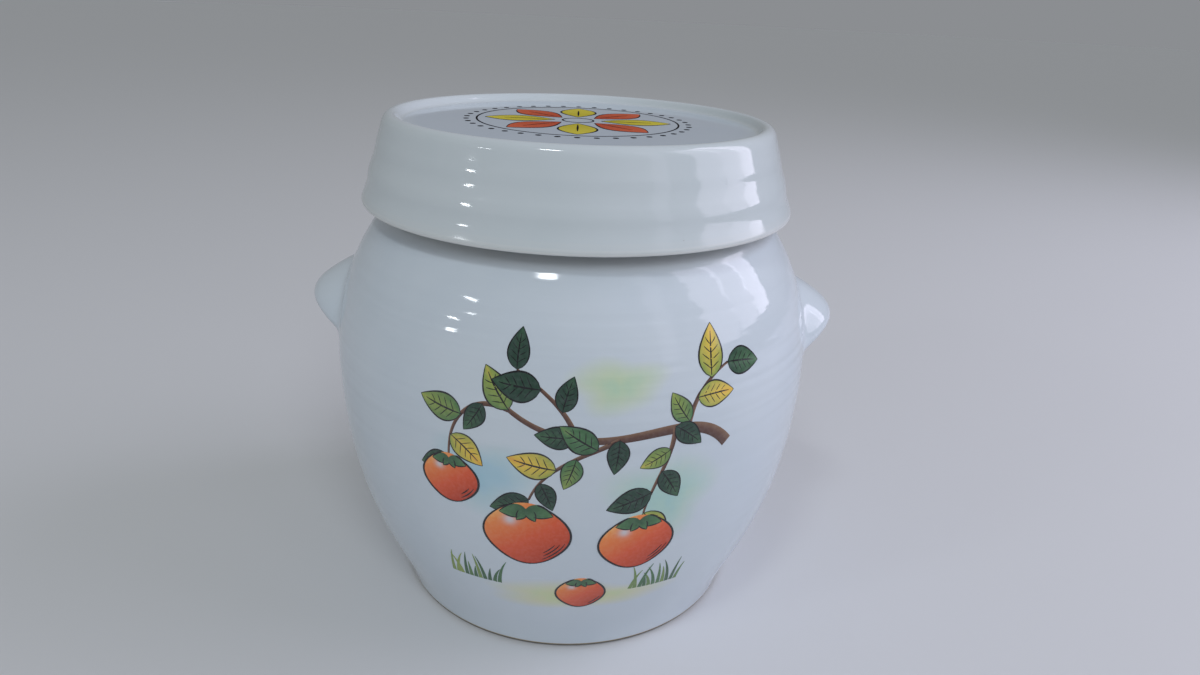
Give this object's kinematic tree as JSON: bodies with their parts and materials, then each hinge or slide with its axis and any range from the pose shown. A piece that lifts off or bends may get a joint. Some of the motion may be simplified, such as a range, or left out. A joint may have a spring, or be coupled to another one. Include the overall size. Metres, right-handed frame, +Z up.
{
  "type": "lidded ceramic jar",
  "caption": "Round-bellied glazed ceramic jar with side lugs and a lift-off cap lid over a low neck, for storing pastes, pickles or dry food.",
  "frame": {"origin": "centre of the foot, on the table that the jar stands on", "axes": "+Z up along the jar's turning axis, +X towards one of the two lugs, -Y towards the painted front"},
  "size_m": [0.2108, 0.19, 0.1935],
  "materials": {
    "jar_glaze": "glossy cool white glaze",
    "lid_glaze": "glossy white glaze, cream where it thins at the lower edge"
  },
  "bodies": {
    "jar": {"jar_body": "jar_glaze", "lug_left": "jar_glaze", "lug_right": "jar_glaze"},
    "lid": {"lid": "lid_glaze"}
  },
  "joints": [
    {"name": "lid_lift", "type": "slide", "parent": "jar", "child": "lid", "axis": [0, 0, 1], "range_m": [0, 0.12]}
  ]
}
